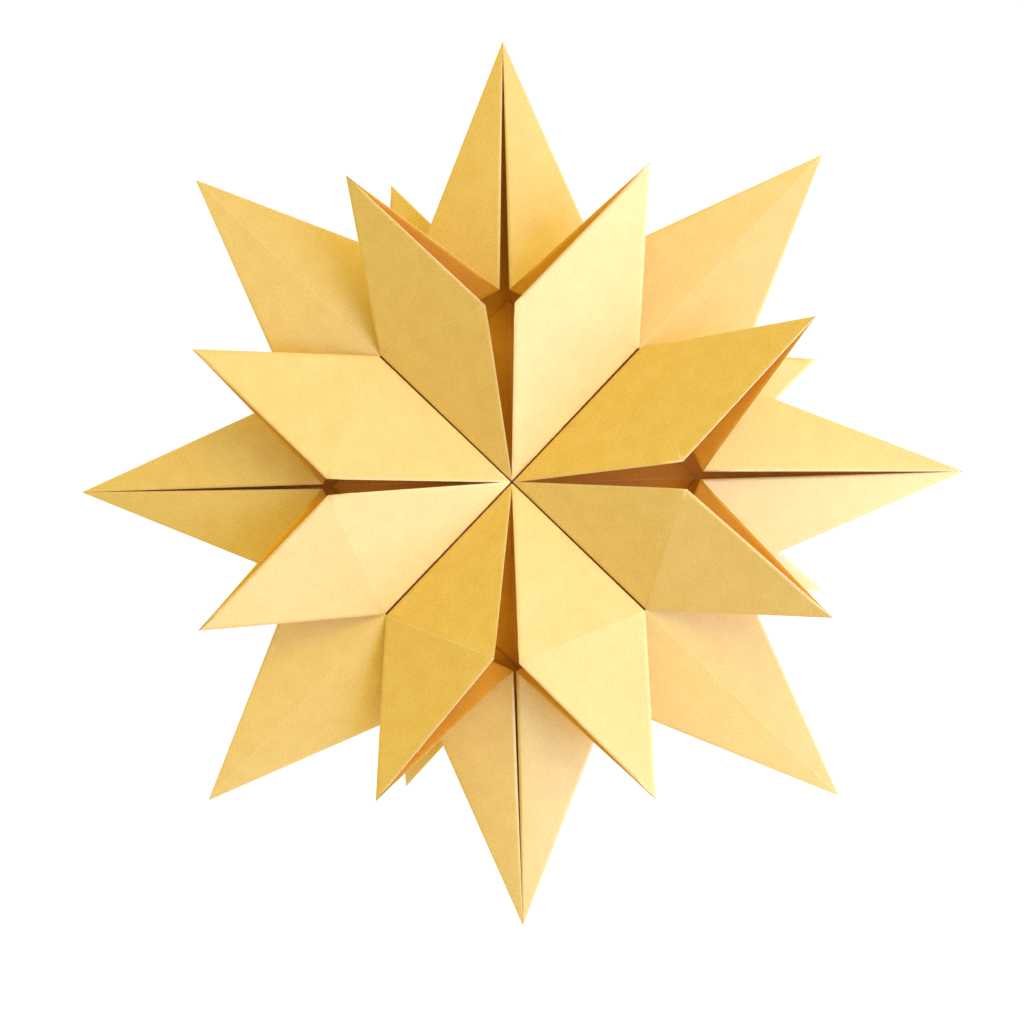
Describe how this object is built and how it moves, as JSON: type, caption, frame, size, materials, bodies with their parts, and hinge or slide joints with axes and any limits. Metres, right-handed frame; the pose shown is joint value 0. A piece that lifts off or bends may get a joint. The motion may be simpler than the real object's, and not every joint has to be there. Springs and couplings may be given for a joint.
{
  "type": "origami star",
  "caption": "Folded paper star of gold card: long points and raised short points on both faces, from square sheets glued back to back.",
  "frame": {"origin": "middle of the star, on the surface that its rear short points rest on", "axes": "+Z along the star's axis, out of its front face; +Y towards the top long point; +X towards the right long point"},
  "size_m": [0.3016, 0.3016, 0.0537],
  "materials": {
    "gold_card": "matt gold craft card with a fine fibre speckle"
  },
  "bodies": {
    "root": {"front_unit_top": "gold_card", "front_unit_right": "gold_card", "front_unit_bottom": "gold_card", "front_unit_left": "gold_card", "rear_unit_upper_right": "gold_card", "rear_unit_lower_right": "gold_card", "rear_unit_lower_left": "gold_card", "rear_unit_upper_left": "gold_card"}
  },
  "joints": []
}
